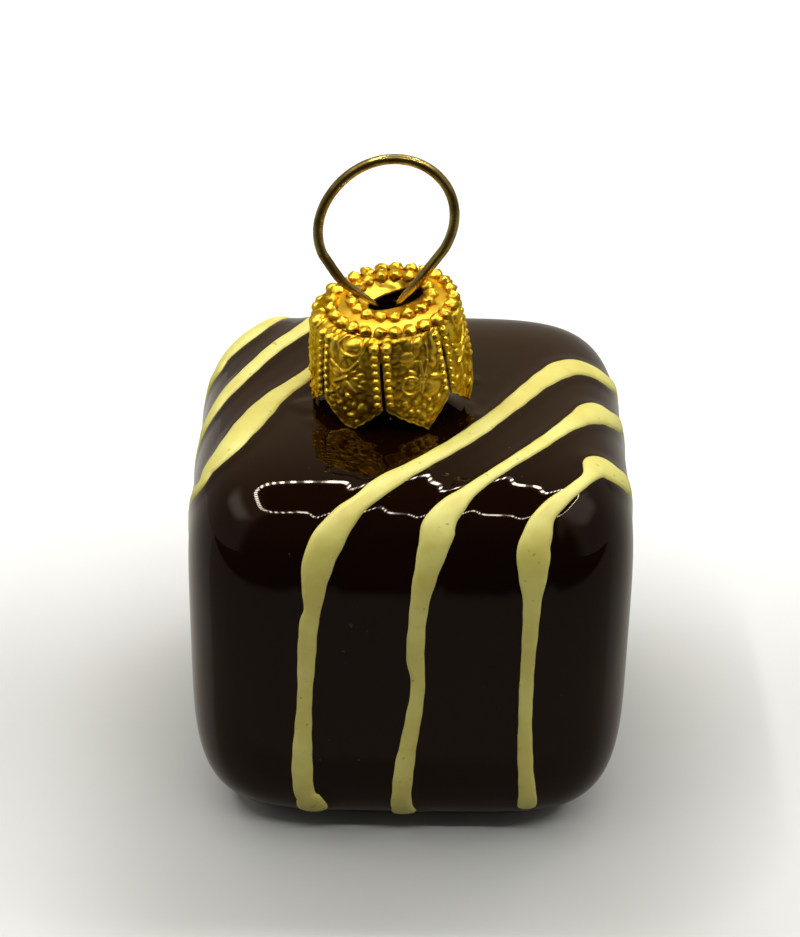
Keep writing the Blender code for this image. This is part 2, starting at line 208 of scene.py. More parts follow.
# Camera, fitted to the photograph's view of the body
VIEW_ELEVATION = 31.97
VIEW_DISTANCE = 177.0
VIEW_ROLL = 0.015
VIEW_TARGET = np.array((-0.855, 0.0, 22.91))
FOCAL_LENGTH = 92.2


def smooth_route(knots, step):
    """Points about step apart on a smooth curve through knots of any dimension."""
    knots = np.array(knots, float)
    padded = np.vstack((2 * knots[0] - knots[1], knots, 2 * knots[-1] - knots[-2]))
    route = []
    for before, start, end, after in zip(padded, padded[1:], padded[2:], padded[3:]):
        pieces = max(1, round(float(np.linalg.norm(end - start)) / step))
        for piece in range(pieces):
            t = piece / pieces
            route.append(
                0.5
                * (
                    2 * start
                    + (end - before) * t
                    + (2 * before - 5 * start + 4 * end - after) * t**2
                    + (3 * start - before - 3 * end + after) * t**3
                )
            )
    route.append(knots[-1])
    return np.array(route)


def gauge(offset):
    """1 on the body's surface, less inside it, for offsets from the body's middle."""
    across = np.abs(offset) + 1e-9
    above = offset[..., 2] > 0
    power = np.where(above, UPPER_POWER, LOWER_POWER)
    reach = np.where(above, HEIGHT - GIRTH, GIRTH + FLAT_SPOT_DEPTH)
    plan = (across[..., 0] / HALF_WIDTH) ** PLAN_POWER + (across[..., 1] / HALF_WIDTH) ** PLAN_POWER
    return (plan ** (power / PLAN_POWER) + (across[..., 2] / reach) ** power) ** (1 / power)


def on_surface(points):
    offset = points - MIDDLE
    surface = MIDDLE + offset / gauge(offset)[..., None]
    surface[..., 2] = np.maximum(surface[..., 2], 0.0)
    return surface


def top_height(points):
    """Height of the body's top under points near its middle."""
    across = np.abs(points[..., :2]) / HALF_WIDTH
    plan = np.sum(across**PLAN_POWER, axis=-1) ** (UPPER_POWER / PLAN_POWER)
    return GIRTH + (HEIGHT - GIRTH) * (1 - plan) ** (1 / UPPER_POWER)


def outward(surface):
    """Unit normals of the body, from the slope of the gauge."""
    offset = surface - MIDDLE
    slope = [gauge(offset + step) - gauge(offset - step) for step in np.eye(3) * 0.01]
    slope = np.stack(slope, axis=-1)
    return slope / np.linalg.norm(slope, axis=-1, keepdims=True)


def unit(vectors):
    return vectors / np.maximum(np.linalg.norm(vectors, axis=-1, keepdims=True), 1e-12)


def grid_faces(rows, columns, wrap_columns=False):
    """Quads of a grid of rows by columns, numbered row by row."""
    faces = []
    for row in range(rows - 1):
        here = row * columns
        above = here + columns
        for column in range(columns if wrap_columns else columns - 1):
            after = (column + 1) % columns
            faces.append((here + column, here + after, above + after, above + column))
    return faces


def add_piece(name, points, faces, material, weld=0.0):
    """A smooth mesh object from points in millimetres."""
    mesh = bpy.data.meshes.new(name)
    mesh.from_pydata((np.asarray(points) * MM).tolist(), [], faces)
    shape = bmesh.new()
    shape.from_mesh(mesh)
    if weld:
        bmesh.ops.remove_doubles(shape, verts=shape.verts, dist=weld * MM)
    bmesh.ops.recalc_face_normals(shape, faces=shape.faces)
    shape.to_mesh(mesh)
    shape.free()
    mesh.materials.append(material)
    mesh.shade_smooth()
    piece = bpy.data.objects.new(name, mesh)
    bpy.context.scene.collection.objects.link(piece)
    return piece


def join(name, pieces):
    """Join pieces into the first one."""
    with bpy.context.temp_override(
        active_object=pieces[0], selected_editable_objects=pieces, selected_objects=pieces
    ):
        bpy.ops.object.join()
    pieces[0].name = name
    return pieces[0]


def tube(points, radii, sides):
    """Points and faces of a round tube with closed ends, with a radius for each point."""
    points = np.array(points)
    ahead = unit(np.gradient(points, axis=0))
    side = unit(np.cross(ahead[0], (0.0, 1.0, 0.3)))
    rings = []
    for place, direction, radius in zip(points, ahead, radii):
        side = unit(side - direction * np.dot(side, direction))
        other = np.cross(direction, side)
        turn = 2 * math.pi * np.arange(sides)[:, None] / sides
        rings.append(place + radius * (np.cos(turn) * side + np.sin(turn) * other))
    faces = grid_faces(len(rings), sides, wrap_columns=True)
    faces.append(tuple(range(sides)))
    faces.append(tuple(range((len(rings) - 1) * sides, len(rings) * sides)))
    return np.concatenate(rings), faces


class Nodes:
    """Short calls to build a shader tree."""

    def __init__(self, tree):
        self.tree = tree

    def add(self, kind, **settings):
        node = self.tree.nodes.new(kind)
        for setting, value in settings.items():
            setattr(node, setting, value)
        return node

    def link(self, source, target):
        if isinstance(source, bpy.types.NodeSocket):
            self.tree.links.new(source, target)
        else:
            target.default_value = source

    def math(self, operation, *values):
        node = self.add("ShaderNodeMath", operation=operation)
        for value, socket in zip(values, node.inputs):
            self.link(value, socket)
        return node.outputs[0]

    def absolute(self, value):
        return self.math("ABSOLUTE", value)

    def product(self, *values):
        result = values[0]
        for value in values[1:]:
            result = self.math("MULTIPLY", result, value)
        return result

    def ramp(self, value, low, high, start=0.0, end=1.0):
        """Smooth step from start to end as value goes from low to high."""
        node = self.add("ShaderNodeMapRange", interpolation_type="SMOOTHSTEP")
        self.link(value, node.inputs["Value"])
        self.link(low, node.inputs["From Min"])
        self.link(high, node.inputs["From Max"])
        self.link(start, node.inputs["To Min"])
        self.link(end, node.inputs["To Max"])
        return node.outputs["Result"]

    def mix(self, factor, first, second):
        node = self.add("ShaderNodeMix", data_type="RGBA")
        self.link(factor, node.inputs[0])
        self.link(first, node.inputs[6])
        self.link(second, node.inputs[7])
        return node.outputs[2]

    def noise(self, scale, detail=2.0, roughness=0.5):
        node = self.add("ShaderNodeTexNoise")
        self.link(self.add("ShaderNodeTexCoord").outputs["Object"], node.inputs["Vector"])
        self.link(scale, node.inputs["Scale"])
        self.link(detail, node.inputs["Detail"])
        self.link(roughness, node.inputs["Roughness"])
        return node.outputs["Fac"]

    def attribute(self, name):
        return self.add("ShaderNodeAttribute", attribute_name=name).outputs["Fac"]

    def bump(self, height, distance):
        node = self.add("ShaderNodeBump")
        self.link(height, node.inputs["Height"])
        self.link(distance, node.inputs["Distance"])
        return node.outputs["Normal"]


def new_material(name):
    material = bpy.data.materials.new(name)
    material.use_nodes = True
    return material, Nodes(material.node_tree), material.node_tree.nodes["Principled BSDF"].inputs


def rgb(red, green, blue):
    return (red, green, blue, 1.0)


def lacquer_material():
    """Dark chocolate lacquer: almost black, with a warm first reflection and clear edges."""
    material, nodes, shader = new_material("dark_lacquer")
    cloud = nodes.ramp(nodes.noise(140.0, 3.0), 0.35, 0.7)
    colour = nodes.mix(cloud, rgb(0.0056, 0.0024, 0.0012), rgb(0.0076, 0.0032, 0.0016))
    speck = nodes.ramp(nodes.noise(2600.0, 0.0), 0.87, 0.90)
    nodes.link(nodes.mix(speck, colour, rgb(0.05, 0.045, 0.04)), shader["Base Color"])
    nodes.link(nodes.ramp(nodes.noise(300.0, 2.0), 0.3, 0.8, 0.025, 0.05), shader["Roughness"])
    shader["IOR"].default_value = 1.21
    shader["Coat Weight"].default_value = 1.0
    shader["Coat IOR"].default_value = 1.23
    shader["Coat Tint"].default_value = rgb(1.0, 0.7, 0.4)
    nodes.link(nodes.bump(nodes.noise(420.0, 2.5), 0.000018), shader["Normal"])
    return material


def icing_material():
    """Pale butter-yellow enamel with a satin skin, faint clouds and a few tiny pits."""
    material, nodes, shader = new_material("icing")
    cloud = nodes.noise(260.0, 4.0, 0.6)
    colour = nodes.mix(nodes.ramp(cloud, 0.3, 0.7), rgb(0.715, 0.62, 0.135), rgb(0.81, 0.76, 0.21))
    toasted = nodes.ramp(nodes.noise(330.0, 4.0, 0.65), 0.56, 0.74, 0.0, 0.45)
    colour = nodes.mix(toasted, colour, rgb(0.64, 0.48, 0.09))
    pits = nodes.ramp(nodes.noise(1900.0, 1.0), 0.72, 0.78)
    nodes.link(nodes.mix(pits, colour, rgb(0.50, 0.42, 0.10)), shader["Base Color"])
    nodes.link(nodes.ramp(cloud, 0.2, 0.8, 0.40, 0.54), shader["Roughness"])
    shader["Specular IOR Level"].default_value = 0.75
    grain = nodes.noise(900.0, 3.0)
    nodes.link(nodes.bump(grain, 0.00003), shader["Normal"])
    return material


def gilt_material():
    """Bright gilt sheet with painted shade: yellow on what stands proud and on the beads' tops,
    brown in recesses, by the bead rings and on the beads' lower sides, with a random stain.
    """
    material, nodes, shader = new_material("gold_sheet")
    proud = nodes.attribute("proud")
    stain = nodes.noise(700.0, 3.0)
    depth = nodes.math("ADD", proud, nodes.math("MULTIPLY", nodes.math("SUBTRACT", stain, 0.5), 0.5))
    # Painted shade: the dark brown goes where the attribute is low, in recesses, next to the bead
    # rings and on the beads' lower sides; the noise adds a random stain
    colour = nodes.mix(nodes.ramp(depth, 0.0, 0.6), rgb(0.50, 0.26, 0.010), rgb(0.98, 0.65, 0.06))
    nodes.link(colour, shader["Base Color"])
    shader["Metallic"].default_value = 1.0
    shader["Specular Tint"].default_value = rgb(0.95, 0.68, 0.2)
    nodes.link(nodes.ramp(stain, 0.3, 0.7, 0.28, 0.42), shader["Roughness"])
    nodes.link(nodes.bump(nodes.noise(1500.0, 2.0), 0.00004), shader["Normal"])
    return material


def brass_material():
    """Browned brass wire with uneven tarnish and fine drawing marks."""
    material, nodes, shader = new_material("aged_brass")
    stain = nodes.noise(420.0, 4.0, 0.6)
    colour = nodes.mix(nodes.ramp(stain, 0.35, 0.65), rgb(0.19, 0.125, 0.03), rgb(0.48, 0.35, 0.10))
    nodes.link(colour, shader["Base Color"])
    shader["Metallic"].default_value = 1.0
    nodes.link(nodes.ramp(stain, 0.3, 0.7, 0.34, 0.2), shader["Roughness"])
    nodes.link(nodes.bump(nodes.noise(2500.0, 3.0), 0.00002), shader["Normal"])
    return material


# Icing lines as (x, y, z, width), from the foot on one side over the top to the other
ICING_LINES = (
    (
        (-6.95, -14.7, 2.2, 1.9),
        (-6.95, -15.1, 3.2, 2.1),
        (-7.1, -15.35, 4.2, 1.9),
        (-7.4, -15.5, 5.2, 1.4),
        (-7.5, -15.9, 8.9, 1.3),
        (-7.3, -15.9, 13.2, 0.9),
        (-7.0, -15.9, 19.5, 1.2),
        (-6.7, -15.9, 21.5, 1.05),
        (-6.5, -15.6, 23.7, 1.8),
        (-6.1, -15.2, 25.4, 2.3),
        (-5.35, -14.65, 26.8, 2.2),
        (-4.4, -13.9, 27.8, 1.8),
        (-3.2, -13.0, 28.5, 1.4),
        (-1.9, -11.9, 29.0, 1.6),
        (0.8, -9.8, 29.5, 1.3),
        (3.7, -6.9, 29.7, 1.5),
        (6.6, -2.9, 29.7, 1.5),
        (9.5, 1.7, 29.6, 1.8),
        (11.7, 4.4, 29.1, 2.1),
        (14.3, 5.6, 27.3, 1.6),
        (15.4, 7.7, 25.0, 1.2),
        (15.8, 8.3, 21.5, 1.0),
        (15.9, 8.0, 14.0, 1.2),
        (15.7, 8.3, 8.0, 0.9),
        (15.0, 8.0, 3.4, 1.6),
    ),
    (
        (-0.1, -14.7, 2.0, 2.0),
        (-0.25, -15.0, 2.9, 1.55),
        (-0.4, -15.3, 4.3, 1.35),
        (-0.2, -15.9, 8.0, 1.2),
        (0.6, -16.0, 14.5, 0.85),
        (0.4, -16.0, 18.0, 1.1),
        (0.7, -15.9, 22.6, 1.2),
        (1.6, -14.85, 26.5, 2.35),
        (2.0, -14.2, 27.6, 2.2),
        (2.8, -13.4, 28.3, 1.8),
        (4.6, -11.8, 29.1, 1.0),
        (8.5, -7.5, 29.3, 1.1),
        (11.2, -3.9, 29.2, 1.4),
        (13.1, -1.2, 28.5, 2.4),
        (14.5, 0.2, 27.0, 1.8),
        (15.5, 2.6, 24.8, 1.3),
        (15.9, 3.2, 21.5, 0.9),
        (16.0, 2.8, 13.5, 1.1),
        (15.7, 3.2, 7.5, 1.0),
        (15.1, 3.0, 3.2, 1.5),
    ),
    (
        (8.85, -15.0, 3.0, 1.3),
        (8.4, -15.8, 8.1, 0.95),
        (8.2, -15.9, 14.5, 0.8),
        (8.3, -15.8, 21.7, 1.1),
        (8.3, -15.3, 25.3, 2.3),
        (8.45, -14.7, 26.6, 2.35),
        (9.3, -13.3, 28.0, 1.4),
        (12.0, -10.2, 28.6, 1.0),
        (12.9, -8.4, 28.4, 2.3),
        (14.6, -7.3, 26.6, 1.9),
        (15.6, -5.0, 24.2, 1.3),
        (15.9, -4.0, 20.5, 0.9),
        (16.0, -3.7, 13.0, 1.1),
        (15.7, -4.0, 7.5, 0.9),
        (15.1, -3.8, 3.6, 1.4),
    ),
    (
        (-15.1, -4.9, 3.5, 1.5),
        (-15.7, -4.7, 8.0, 0.9),
        (-15.9, -5.0, 15.0, 1.1),
        (-15.8, -5.6, 22.0, 0.9),
        (-14.8, -8.6, 26.4, 1.2),
        (-14.1, -8.0, 27.5, 1.8),
        (-12.9, -6.9, 28.4, 2.4),
        (-11.7, -4.7, 29.1, 2.6),
        (-9.9, -1.4, 29.5, 1.9),
        (-7.9, 1.3, 29.7, 1.3),
        (-4.6, 6.6, 29.7, 1.2),
        (-1.2, 12.0, 29.0, 1.4),
        (0.2, 14.3, 27.4, 2.1),
        (0.5, 15.8, 22.0, 1.0),
        (0.2, 16.0, 13.5, 1.2),
        (0.6, 15.7, 7.5, 0.9),
        (0.4, 15.1, 3.3, 1.5),
    ),
    (
        (-15.1, -0.3, 3.3, 1.4),
        (-15.8, -0.6, 8.0, 1.0),
        (-16.0, -0.2, 15.0, 1.1),
        (-15.8, -0.5, 21.5, 0.9),
        (-15.0, -0.4, 26.3, 1.4),
        (-13.6, 1.3, 28.1, 1.7),
        (-12.1, 3.3, 29.0, 1.5),
        (-10.3, 6.0, 29.4, 1.4),
        (-8.2, 9.1, 29.5, 1.5),
        (-6.6, 12.6, 28.7, 1.8),
        (-6.2, 14.7, 26.8, 1.7),
        (-6.4, 15.8, 21.5, 1.0),
        (-6.1, 15.9, 13.5, 1.1),
        (-6.4, 15.6, 7.5, 0.9),
        (-6.2, 15.1, 3.5, 1.5),
    ),
    (
        (-15.0, 7.1, 3.4, 1.4),
        (-15.7, 6.8, 8.5, 0.9),
        (-15.9, 7.2, 15.0, 1.1),
        (-15.8, 6.9, 21.5, 1.0),
        (-14.8, 6.6, 26.6, 1.4),
        (-14.2, 7.5, 27.4, 1.7),
        (-12.8, 8.9, 28.4, 2.0),
        (-11.3, 11.0, 28.7, 1.6),
        (-10.3, 13.2, 27.9, 1.6),
        (-9.9, 14.7, 26.2, 1.4),
        (-10.1, 15.6, 21.0, 0.9),
        (-9.9, 15.8, 13.5, 1.0),
        (-10.2, 15.5, 7.5, 0.9),
        (-10.0, 14.9, 3.6, 1.4),
    ),
)


def icing_routes():
    """Each line's centre points on the glass and its widths."""
    routes = []
    for knots in ICING_LINES:
        samples = smooth_route(knots, ICING_STEP)
        routes.append((on_surface(samples[:, :3]), samples[:, 3]))
    return routes


def icing(routes, material):
    """Rounded strips of enamel that follow the glass, one for each line."""
    across = np.linspace(-1.0, 1.0, ICING_ACROSS)
    profile = (1 - np.abs(across) ** ICING_FULLNESS) ** 0.5
    profile = np.concatenate((profile, (0.0, 0.0)))
    across = np.concatenate((across, (1.0, -1.0)))
    root = np.concatenate((np.zeros(ICING_ACROSS), (ICING_ROOT, ICING_ROOT)))
    strips = []
    for number, (places, widths) in enumerate(routes):
        along = np.concatenate(
            ((0.0,), np.cumsum(np.linalg.norm(np.diff(places, axis=0), axis=1)))
        )
        from_end = np.minimum(along, along[-1] - along)
        short = np.clip(1 - from_end / (ICING_END * widths), 0.0, 1.0)
        taper = np.sqrt(np.maximum(1 - short**2, ICING_END_THICKNESS))
        wobble = np.sin(along * 2.1 + number) * np.sin(along * 0.83 + 2 * number)
        wobble = 1 + ICING_WOBBLE * wobble
        below = (ICING_SAG_HEIGHT - places[:, 2]) / ICING_SAG_BLEND
        sagged = ICING_SAG * np.clip(below, 0.0, 1.0)
        half = (widths / 2 + sagged) * taper * wobble
        aside = np.clip((np.abs(places[:, 0]) - SIDE_START) / SIDE_BLEND, 0.0, 1.0)
        relief = (RELIEF_BASE + RELIEF_PER_WIDTH * widths) * taper * (1 - SIDE_THINNING * aside)
        normal = outward(places)
        ahead = unit(np.gradient(places, axis=0))
        side = unit(np.cross(normal, ahead))
        spread = places[:, None, :] + side[:, None, :] * (half[:, None] * across)[..., None]
        glass = on_surface(spread)
        rise = relief[:, None] * profile - root
        points = glass + outward(glass) * rise[..., None]
        rows, columns = points.shape[:2]
        faces = grid_faces(rows, columns, wrap_columns=True)
        faces.append(tuple(range(columns)))
        faces.append(tuple(range((rows - 1) * columns, rows * columns)))
        strips.append(add_piece(f"icing_{number}", points.reshape(-1, 3), faces, material))
    return join("icing_lines", strips)


def cube_points(cells):
    """Points and quads of a cube's six faces, crowded a little towards its edges."""
    steps = np.linspace(-1.0, 1.0, cells + 1)
    steps = (1 - EDGE_CROWDING) * steps + EDGE_CROWDING * np.sin(steps * math.pi / 2)
    first, second = np.meshgrid(steps, steps, indexing="ij")
    points = []
    faces = []
    for axis in range(3):
        for sign in (-1.0, 1.0):
            face = np.empty((cells + 1, cells + 1, 3))
            face[..., axis] = sign
            face[..., (axis + 1) % 3] = first
            face[..., (axis + 2) % 3] = second
            start = len(points) * (cells + 1) ** 2
            points.append(face.reshape(-1, 3))
            faces.extend(
                tuple(start + corner for corner in quad)
                for quad in grid_faces(cells + 1, cells + 1)
            )
    return np.concatenate(points), faces


def lacquered(surface, routes):
    """Give the glass its slow waves, a lacquer bank beside each icing line and the neck's pool."""
    places = np.concatenate([route[0] for route in routes])
    widths = np.concatenate([route[1] for route in routes])
    tree = kdtree.KDTree(len(places))
    for index, place in enumerate(places):
        tree.insert(place, index)
    tree.balance()
    rise = np.empty(len(surface))
    for index, point in enumerate(surface):
        nearest, route_index, distance = tree.find(point)
        beyond = max(0.0, distance - widths[route_index] / 2)
        wave = noise.noise(Vector(point) / WAVE_LENGTH) * WAVE_DEPTH
        rise[index] = wave + BANK_HEIGHT * math.exp(-((beyond / BANK_REACH) ** 2))
        if point[2] > GIRTH:
            from_neck = math.dist(point[:2], NECK_AXIS[:2])
            uneven = POOL_UNEVEN * noise.noise(Vector(point) / POOL_WAVE_LENGTH)
            share = np.clip((POOL_REACH + uneven - from_neck) / POOL_EDGE, 0.0, 1.0)
            rise[index] += POOL_HEIGHT * share**2 * (3 - 2 * share)
    rise *= np.clip(surface[:, 2] / 3.0, 0.0, 1.0)
    return surface + outward(surface) * rise[:, None]


def neck(material):
    """The glass neck: a blind bore, a rounded lip and an uneven pool of lacquer at its foot."""
    profile = [
        (0.0, BORE_FLOOR),
        (BORE_RADIUS, BORE_FLOOR),
        (BORE_RADIUS, NECK_TOP - NECK_LIP),
        (BORE_RADIUS + NECK_LIP, NECK_TOP),
        (NECK_RADIUS - NECK_LIP, NECK_TOP),
        (NECK_RADIUS, NECK_TOP - NECK_LIP),
    ]
    rings = [NECK_AXIS + circle(radius, height) for radius, height in profile]
    wave_ring = NECK_AXIS + circle(NECK_WAVE_RING, HEIGHT)
    uneven = np.array([noise.noise(Vector(place) / NECK_WAVE_LENGTH) for place in wave_ring])
    reach = NECK_FLARE_REACH * (1 + NECK_FLARE_UNEVEN * uneven)
    for step in range(NECK_FLARE_STEPS + 1):
        turn = step / NECK_FLARE_STEPS * math.pi / 2
        ring = NECK_AXIS + circle(NECK_RADIUS + reach * (1 - math.cos(turn)), HEIGHT)
        pool = NECK_FLARE * (1 + NECK_FLARE_UNEVEN * uneven) * (1 - math.sin(turn))
        ring[:, 2] = top_height(ring) + pool + NECK_FLARE_SINK * (2 * math.cos(turn) - 1)
        rings.append(ring)
    foot = rings[-1].copy()
    foot[:, 2] -= NECK_FLARE
    rings.append(foot)
    rings.append(NECK_AXIS + circle(0.0, HEIGHT - NECK_FLARE))
    points = np.concatenate(rings)
    faces = grid_faces(len(rings), RING_POINTS, wrap_columns=True)
    return add_piece("neck", points, faces, material, weld=0.001)


def glass_body(routes, material):
    points, faces = cube_points(CELLS_PER_SIDE)
    surface = lacquered(on_surface(points + MIDDLE), routes)
    shell = add_piece("shell", surface, faces, material, weld=0.01)
    return join("glass_body", [shell, neck(material)])


def circle(radius, height, centre=(0.0, 0.0)):
    """Points of a level ring; radius may differ from point to point."""
    turn = 2 * math.pi * np.arange(RING_POINTS) / RING_POINTS
    x = centre[0] + radius * np.cos(turn)
    y = centre[1] + radius * np.sin(turn)
    return np.stack((x, y, np.full_like(turn, height)), axis=-1)


def stand(points):
    """Move points from the cap's own frame to the leaning cap."""
    lean = math.radians(CAP_LEAN)
    nod = math.radians(CAP_NOD)
    x, y, z = np.moveaxis(np.asarray(points), -1, 0)
    leaning = x * math.cos(lean) - z * math.sin(lean)
    rise = x * math.sin(lean) + z * math.cos(lean)
    forward = y * math.cos(nod) - rise * math.sin(nod)
    height = y * math.sin(nod) + rise * math.cos(nod)
    return CAP_FOOT + np.stack((leaning, forward, height), axis=-1)


def rounded(distance):
    """Height of a stamped swelling at a share of its half width, 1 in the middle."""
    return np.clip(1 - distance**2, 0.0, 1.0) ** 0.62


def leaf(across, height, mark):
    """A rounded leaf; mark is (across, height, half length, half width, turn, rise)."""
    turn = math.radians(mark[4])
    x = across - mark[0]
    y = height - mark[1]
    along = (x * math.cos(turn) + y * math.sin(turn)) / mark[2]
    aside = (y * math.cos(turn) - x * math.sin(turn)) / mark[3]
    return mark[5] * rounded(np.hypot(along, aside))


def ridge(across, height, mark):
    """A rounded ridge; mark is (across, height, across, height, half width, rise)."""
    start = np.array(mark[:2])
    run = np.array(mark[2:4]) - start
    share = ((across - start[0]) * run[0] + (height - start[1]) * run[1]) / (run @ run)
    share = np.clip(share, 0.0, 1.0)
    away = np.hypot(across - start[0] - share * run[0], height - start[1] - share * run[1])
    return mark[5] * rounded(away / mark[4])


def hoop(across, height, mark):
    """A rounded oval ring; mark is (across, height, half sizes, half width, rise)."""
    away = np.hypot((across - mark[0]) / mark[2], (height - mark[1]) / mark[3])
    return mark[5] * rounded(np.abs(away - 1) * min(mark[2:4]) / mark[4])


# Stamped ornament of the petals, in two versions; across is from a petal's middle line
LEAVES = (
    (
        (0.2, 6.6, 0.66, 0.46, 0, 0.42),
        (-1.3, 6.1, 0.34, 0.85, 0, 0.14),
        (0.55, 5.95, 0.4, 0.24, 10, 0.14),
        (-0.25, 5.8, 0.26, 0.12, 10, 0.16),
        (-0.95, 4.3, 0.5, 0.34, -35, 0.2),
        (0.45, 4.75, 0.34, 0.13, 20, 0.15),
        (0.95, 4.6, 0.36, 0.13, 15, 0.15),
        (0.6, 4.25, 0.36, 0.13, 10, 0.15),
        (1.15, 4.1, 0.32, 0.13, 25, 0.15),
        (0.95, 3.65, 0.3, 0.14, -20, 0.15),
        (-1.65, 2.6, 0.36, 0.17, 18, 0.2),
        (-0.05, 2.75, 0.3, 0.22, -35, 0.2),
        (-0.75, 2.05, 0.36, 0.18, 35, 0.2),
        (0.95, 1.95, 0.46, 0.34, 60, 0.18),
        (0.1, 1.25, 0.4, 0.2, 15, 0.2),
        (-0.9, 3.1, 0.3, 0.16, 50, 0.16),
        (0.35, 2.1, 0.26, 0.18, 70, 0.16),
        (-0.35, 1.6, 0.24, 0.18, 0, 0.16),
        (0.5, 0.8, 0.22, 0.16, 30, 0.14),
    ),
    (
        (0.3, 6.6, 0.44, 0.36, 0, 0.42),
        (1.45, 6.1, 0.3, 0.85, 0, 0.14),
        (-0.5, 5.75, 0.6, 0.42, 0, 0.12),
        (1.3, 4.9, 0.3, 0.42, 20, 0.17),
        (1.42, 3.75, 0.56, 0.22, -18, 0.24),
        (1.05, 2.85, 0.8, 0.5, 10, 0.15),
        (-0.3, 4.55, 0.4, 0.18, -35, 0.17),
        (-0.55, 3.6, 0.34, 0.3, 0, 0.12),
        (0.65, 2.15, 0.22, 0.13, 20, 0.2),
        (1.35, 2.0, 0.4, 0.2, 40, 0.17),
        (-1.1, 2.25, 0.28, 0.22, 50, 0.18),
        (-0.75, 1.55, 0.26, 0.22, 20, 0.18),
        (-0.4, 2.2, 0.26, 0.2, 80, 0.18),
        (-0.25, 1.4, 0.24, 0.22, 10, 0.18),
        (0.1, 0.85, 0.28, 0.2, 30, 0.18),
        (0.2, 1.75, 0.24, 0.2, 60, 0.16),
        (0.6, 1.3, 0.28, 0.18, 10, 0.18),
        (0.35, 0.45, 0.24, 0.14, 20, 0.14),
    ),
)
RIDGES = (
    (
        (-1.45, 5.15, -0.5, 4.6, 0.13, 0.16),
        (-0.45, 4.55, 0.15, 4.85, 0.13, 0.18),
        (0.15, 4.85, 0.8, 5.6, 0.13, 0.17),
        (-1.2, 3.6, -0.15, 4.25, 0.14, 0.22),
        (-0.3, 4.0, 0.55, 3.25, 0.13, 0.18),
        (-0.1, 6.05, 0.55, 6.0, 0.09, 0.14),
        (0.95, 5.2, 1.0, 6.2, 0.12, 0.1),
    ),
    (
        (0.4, 3.95, 0.35, 5.2, 0.13, 0.15),
        (0.4, 3.95, 0.85, 5.15, 0.13, 0.15),
        (0.4, 3.95, -0.6, 4.0, 0.13, 0.15),
        (0.4, 3.95, -0.4, 3.2, 0.13, 0.15),
        (0.4, 3.95, 0.15, 2.95, 0.15, 0.15),
        (0.4, 3.95, 1.0, 3.3, 0.12, 0.15),
        (-1.0, 5.35, 0.2, 5.3, 0.09, 0.1),
        (0.9, 5.4, 0.95, 6.3, 0.1, 0.1),
    ),
)
HOOPS = (
    ((0.2, 6.6, 0.92, 0.66, 0.12, 0.2),),
    ((-0.54, 3.6, 0.62, 0.66, 0.11, 0.18), (0.4, 3.95, 0.3, 0.3, 0.09, 0.2)),
)


def petal_relief(across, height, half, edge, version):
    """How far the stamped ornament stands out of a petal.

    across and height are the place, half is the petal's half width there, and edge is the
    height above the petal's lower outline.
    """
    rise = np.zeros_like(across)
    for side in (-1.0, 1.0):
        slant = 0.0 if (side > 0) != (version == 1) else side * BORDER_SLANT
        for number in range(BORDER_STUDS):
            if number == 0:
                form = (0.38, 0.34, slant, 0.3)
            elif slant:
                form = (0.32, 0.22, slant, 0.22)
            else:
                form = (0.27, 0.27, slant, 0.22)
            mark = (side * (half - BORDER_INSET), BORDER_TOP - BORDER_STEP * number, *form)
            rise = np.maximum(rise, leaf(across, height, mark))
    for mark in LEAVES[version]:
        rise = np.maximum(rise, leaf(across, height, mark))
    for mark in RIDGES[version]:
        rise = np.maximum(rise, ridge(across, height, mark))
    for mark in HOOPS[version]:
        rise = np.maximum(rise, hoop(across, height, mark))
    rim = RIM_RISE * np.clip(1 - np.abs(edge - RIM_RISE) / RIM_RISE, 0.0, 1.0)
    return np.maximum(rise, rim)


def pebbles(across, height, seed):
    """Small uneven facets that fill the ground between the larger marks."""
    spots = np.stack(np.broadcast_arrays(across, height), axis=-1).reshape(-1, 2)
    gaps = []
    for x, z in spots * PEBBLES_PER_MM:
        near, second = noise.voronoi(Vector((x, z, seed * 5.3)))[0][:2]
        gaps.append(second - near)
    gaps = np.array(gaps).reshape(np.broadcast_shapes(across.shape, height.shape))
    return PEBBLE_RISE * np.clip(gaps / 0.55, 0.0, 1.0) ** 0.8


def plate_share(height):
    """How far the top plate's shift to one side has come in at a height, from 0 to 1."""
    return np.clip((height - SHOULDER_FOOT) / (OUTER_BEAD_HEIGHT - SHOULDER_FOOT), 0.0, 1.0)


